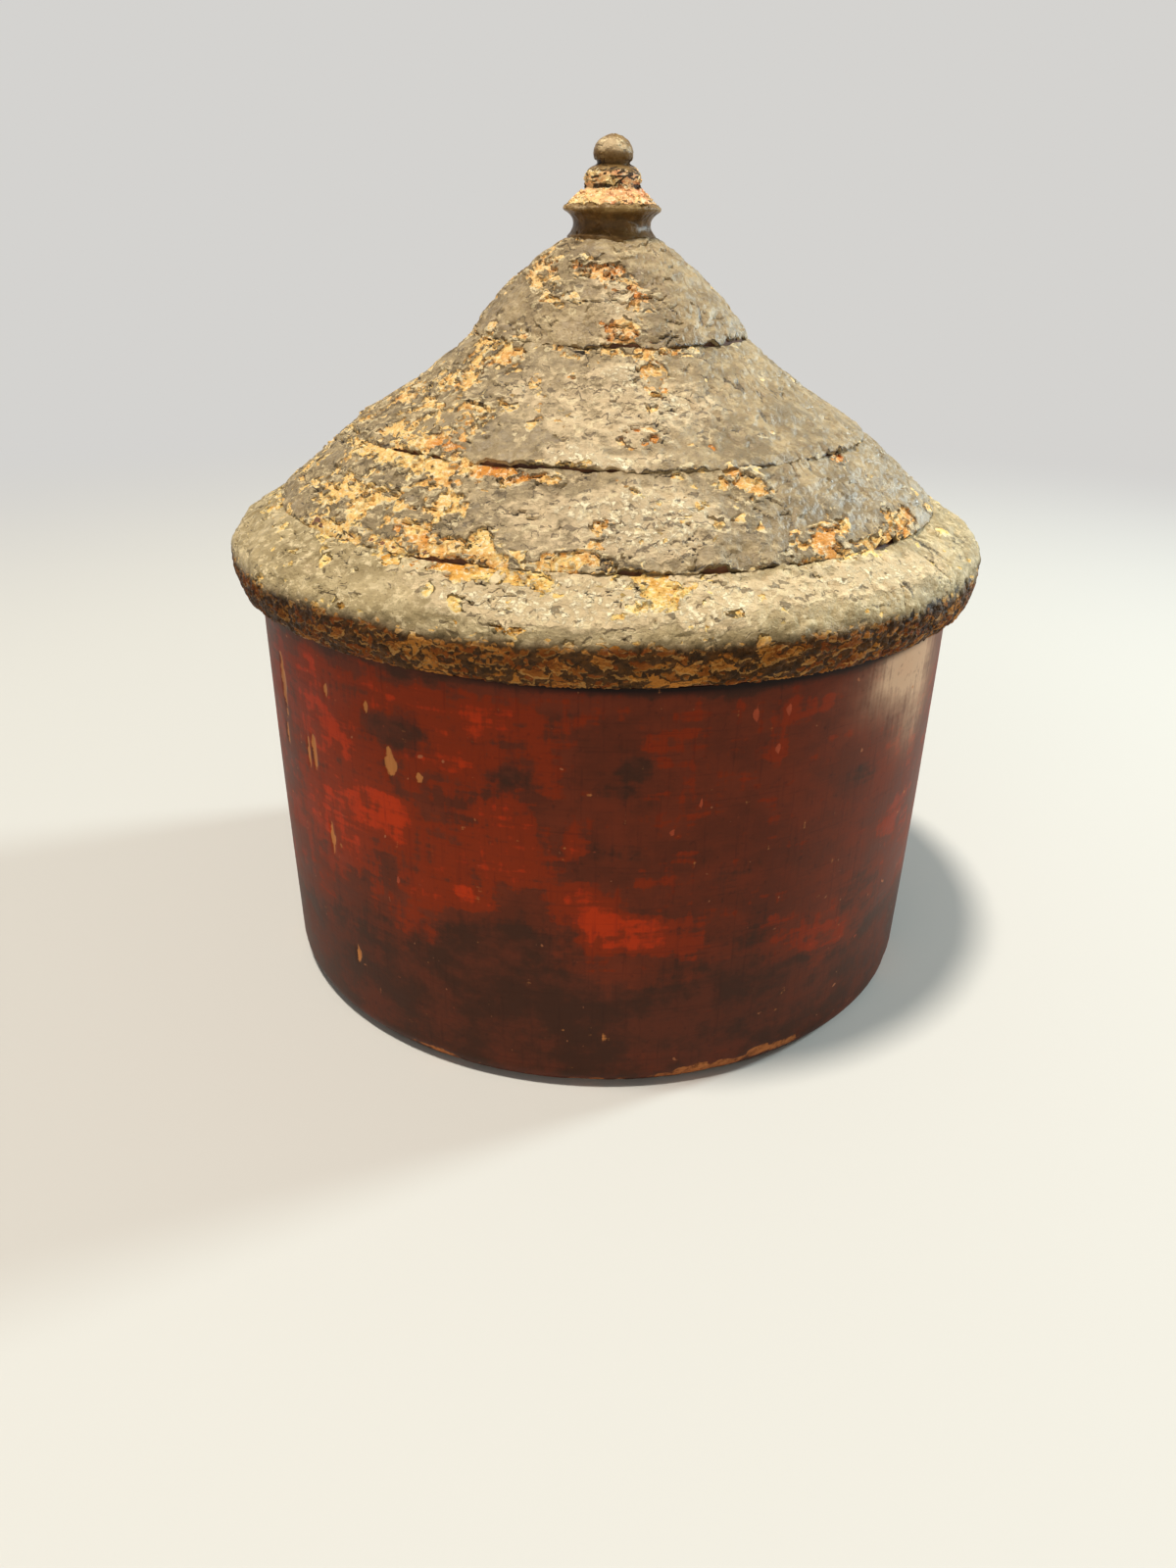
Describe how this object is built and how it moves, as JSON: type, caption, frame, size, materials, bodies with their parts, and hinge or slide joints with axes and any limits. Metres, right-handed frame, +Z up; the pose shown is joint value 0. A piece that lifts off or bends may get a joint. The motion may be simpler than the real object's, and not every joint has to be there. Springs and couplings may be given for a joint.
{
  "type": "tikka box",
  "caption": "Round turned wooden powder box: a lacquered drum with a neck, and a tiered conical lid, crusted with old paint, that lifts off by its turned finial.",
  "frame": {"origin": "middle of the foot, on the surface that the box stands on", "axes": "+Z up along the turning axis, towards the finial; -Y towards the viewer"},
  "size_m": [0.2, 0.2, 0.2148],
  "materials": {
    "bare_wood": "bare turned wood, aged and hand-worn",
    "red_lacquer": "lac on wood, satin dark red-brown, rubbed through to vermilion and chipped to wood",
    "lid_paint": "weathered olive-grey paint on wood, flaking to an ochre ground",
    "knob_paint": "dark olive paint on wood, polished by handling, flaking to an ochre ground"
  },
  "bodies": {
    "box": {"body": "bare_wood", "body_lacquer": "red_lacquer"},
    "lid": {"lid": "bare_wood", "rim_crust": "lid_paint", "lower_tier_crust": "lid_paint", "upper_tier_crust": "lid_paint", "crown_crust": "lid_paint", "finial": "bare_wood", "finial_crust": "knob_paint"}
  },
  "joints": [
    {"name": "lid_lift", "type": "slide", "parent": "box", "child": "lid", "axis": [0, 0, 1], "range_m": [0, 0.15]}
  ]
}
